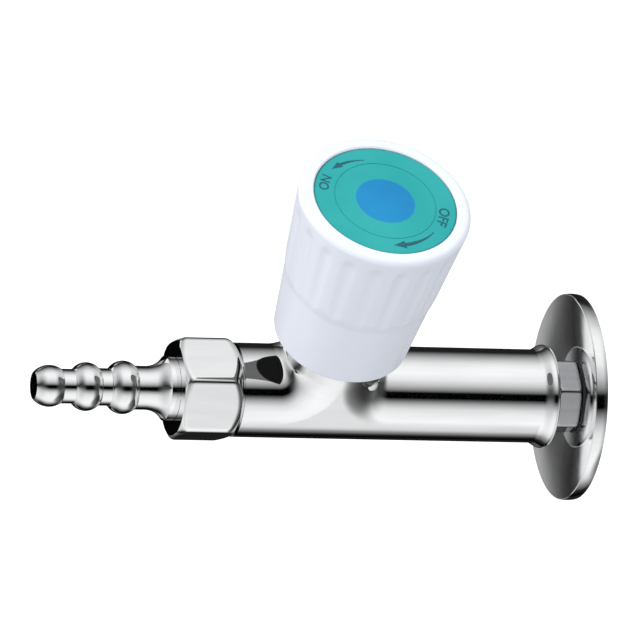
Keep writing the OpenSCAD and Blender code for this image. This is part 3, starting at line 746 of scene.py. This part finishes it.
def studio_world():
    world = bpy.data.worlds.new("studio")
    bpy.context.scene.world = world
    world.use_nodes = True
    g = Graph(world.node_tree)
    way = g.node("ShaderNodeTexCoord").outputs["Generated"]
    x, y, z = g.node("ShaderNodeSeparateXYZ", {0: way}).outputs
    turn = g.math("ARCTAN2", z, g.math("MULTIPLY", y, -1.0))
    share = g.spread(turn, amount=0.5 / math.pi, base=0.5)
    middle, nozzle, wall = (g.ramp(share, [((a + 180) / 360, v) for a, v in ring])
                            for ring in (RING_MIDDLE, RING_NOZZLE, RING_WALL))
    back = g.ramp(g.spread(x, amount=0.5, base=0.5), [((p + 1) / 2, v) for p, v in BACK])
    seen = g.mix(g.step(x, *NOZZLE_SPAN), middle, nozzle)
    seen = g.mix(g.step(x, *WALL_SPAN), seen, wall)
    seen = g.mix(g.step(turn, *(math.radians(a) for a in BACK_SPAN)), seen, back)
    near = g.node("ShaderNodeVectorMath", {0: way, 1: DIM_WAY}, operation="DOT_PRODUCT").outputs["Value"]
    seen = g.mix(g.math("MULTIPLY", g.step(near, *DIM_SPAN), DIM_SHARE), seen, DIM_VALUE)
    plain, mirror, white = (g.node("ShaderNodeBackground", {"Color": colour, "Strength": strength}).outputs[0]
                            for colour, strength in ((SKY, 1.0), (seen, MIRROR_STRENGTH), (1.0, 1.0)))
    path = g.node("ShaderNodeLightPath").outputs
    light = g.node("ShaderNodeMixShader", {0: path["Is Glossy Ray"], 1: plain, 2: mirror}).outputs[0]
    light = g.node("ShaderNodeMixShader", {0: path["Is Camera Ray"], 1: light, 2: white}).outputs[0]
    g.tree.links.new(light, g.node("ShaderNodeOutputWorld").inputs[0])


def facing(place, target):
    return (Vector(place) - Vector(target)).to_track_quat("Z", "Y").to_euler()


def softbox(name, place, target, size, power):
    lamp = bpy.data.lights.new(name, "AREA")
    lamp.shape = "DISK"
    lamp.size = size
    lamp.energy = power
    obj = bpy.data.objects.new(name, lamp)
    bpy.context.scene.collection.objects.link(obj)
    obj.location = place
    obj.rotation_euler = facing(place, target)
    obj.visible_glossy = False


def only_mirrored(obj):
    """A stage piece that nothing but a mirror sees"""
    obj.visible_camera = obj.visible_diffuse = obj.visible_shadow = obj.visible_transmission = False


def glow(name, value):
    m, g, bsdf, _ = material(name)
    finish(g, bsdf, Base_Color=0.0, Specular_IOR_Level=0.0, Emission_Color=1.0, Emission_Strength=value)
    return m


def flag(name, place, target, radius):
    """A black card beside the object"""
    bpy.ops.mesh.primitive_circle_add(vertices=64, radius=radius, fill_type="NGON", location=place)
    card = bpy.context.active_object
    card.name = name
    card.rotation_euler = facing(place, target)
    card.data.materials.append(glow(name, FLAG_GLOW))
    only_mirrored(card)


def handle_shade():
    """The chrome mirrors this darker form, just inside the handle's skin, in place of the white handle"""
    low, high = HANDLE_BASE + SHADE_INSET, HANDLE_TOP - SHADE_INSET
    height = (high - low) * MM
    bpy.ops.mesh.primitive_cone_add(vertices=96, radius1=(skirt(low) - SHADE_INSET) * MM,
                                    radius2=(skirt(high) - SHADE_INSET) * MM, depth=height,
                                    location=(spindle.x, 0.0, low * MM + height / 2))
    shade = bpy.context.active_object
    shade.name = "handle_shade"
    for look in (glow("shade_side", SHADE_SIDE_GLOW), glow("shade_end", SHADE_END_GLOW)):
        shade.data.materials.append(look)
    for face in shade.data.polygons:
        face.material_index = int(face.normal.z < -0.5)
    only_mirrored(shade)
    for name in ("smooth_handle", "index_disc"):
        bpy.data.objects[name].visible_glossy = False


def floor():
    m, g, bsdf, _ = material("floor_white")
    path = g.node("ShaderNodeLightPath")
    lift = g.math("MULTIPLY", path.outputs["Is Camera Ray"], FLOOR_GLOW)
    finish(g, bsdf, Base_Color=0.6, Roughness=0.9, Emission_Color=1.0, Emission_Strength=lift)
    bpy.ops.mesh.primitive_plane_add(size=FLOOR_SIZE, location=(0, 0, FLOOR_Z))
    plane = bpy.context.active_object
    plane.name = "floor"
    plane.data.materials.append(m)
    plane.visible_glossy = False


studio_world()
softbox("key", place=(-1.0, 0.3, 0.9), target=OBJECT_MIDDLE, size=0.7, power=7.5)
nut_front = (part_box("union_nut")[0].x, 0.0, 0.0)
flag("nut_flag", (nut_front[0] - FLAG_AHEAD, FLAG_BEHIND, -FLAG_BELOW), nut_front, FLAG_R)
handle_shade()
floor()


# Camera, fitted to the photo's view of the pipe, the flange and the handle

PICTURE_PX = 640
SENSOR_MM = 36.0
DISTANCE = 2.0
FOCAL_PX = 8056.6
AIM_PX = (360.96, 351.0)
ROLL = math.radians(0.3)
right = Vector((0.95297, -0.19576, 0.23134))
up = Vector((-0.01673, 0.72822, 0.68514))
away = Vector((-0.30259, -0.65679, 0.69070))
right, up = right * math.cos(ROLL) + up * math.sin(ROLL), up * math.cos(ROLL) - right * math.sin(ROLL)
target = Vector(OBJECT_MIDDLE)
off_right, off_down = ((px - PICTURE_PX / 2) / FOCAL_PX * DISTANCE for px in AIM_PX)
centre = target - right * off_right + up * off_down
camera = bpy.data.objects.new("camera", bpy.data.cameras.new("camera"))
bpy.context.scene.collection.objects.link(camera)
place = target + away * DISTANCE
behind = (place - centre).normalized()
side = up.cross(behind).normalized()
turned = Matrix((side, behind.cross(side), behind)).transposed().to_4x4()
camera.matrix_world = Matrix.Translation(place) @ turned
camera.data.sensor_width = SENSOR_MM
camera.data.lens = FOCAL_PX / PICTURE_PX * SENSOR_MM
camera.data.clip_start = 0.1
camera.data.clip_end = 50.0
bpy.context.scene.camera = camera
bpy.context.scene.view_settings.view_transform = "Standard"
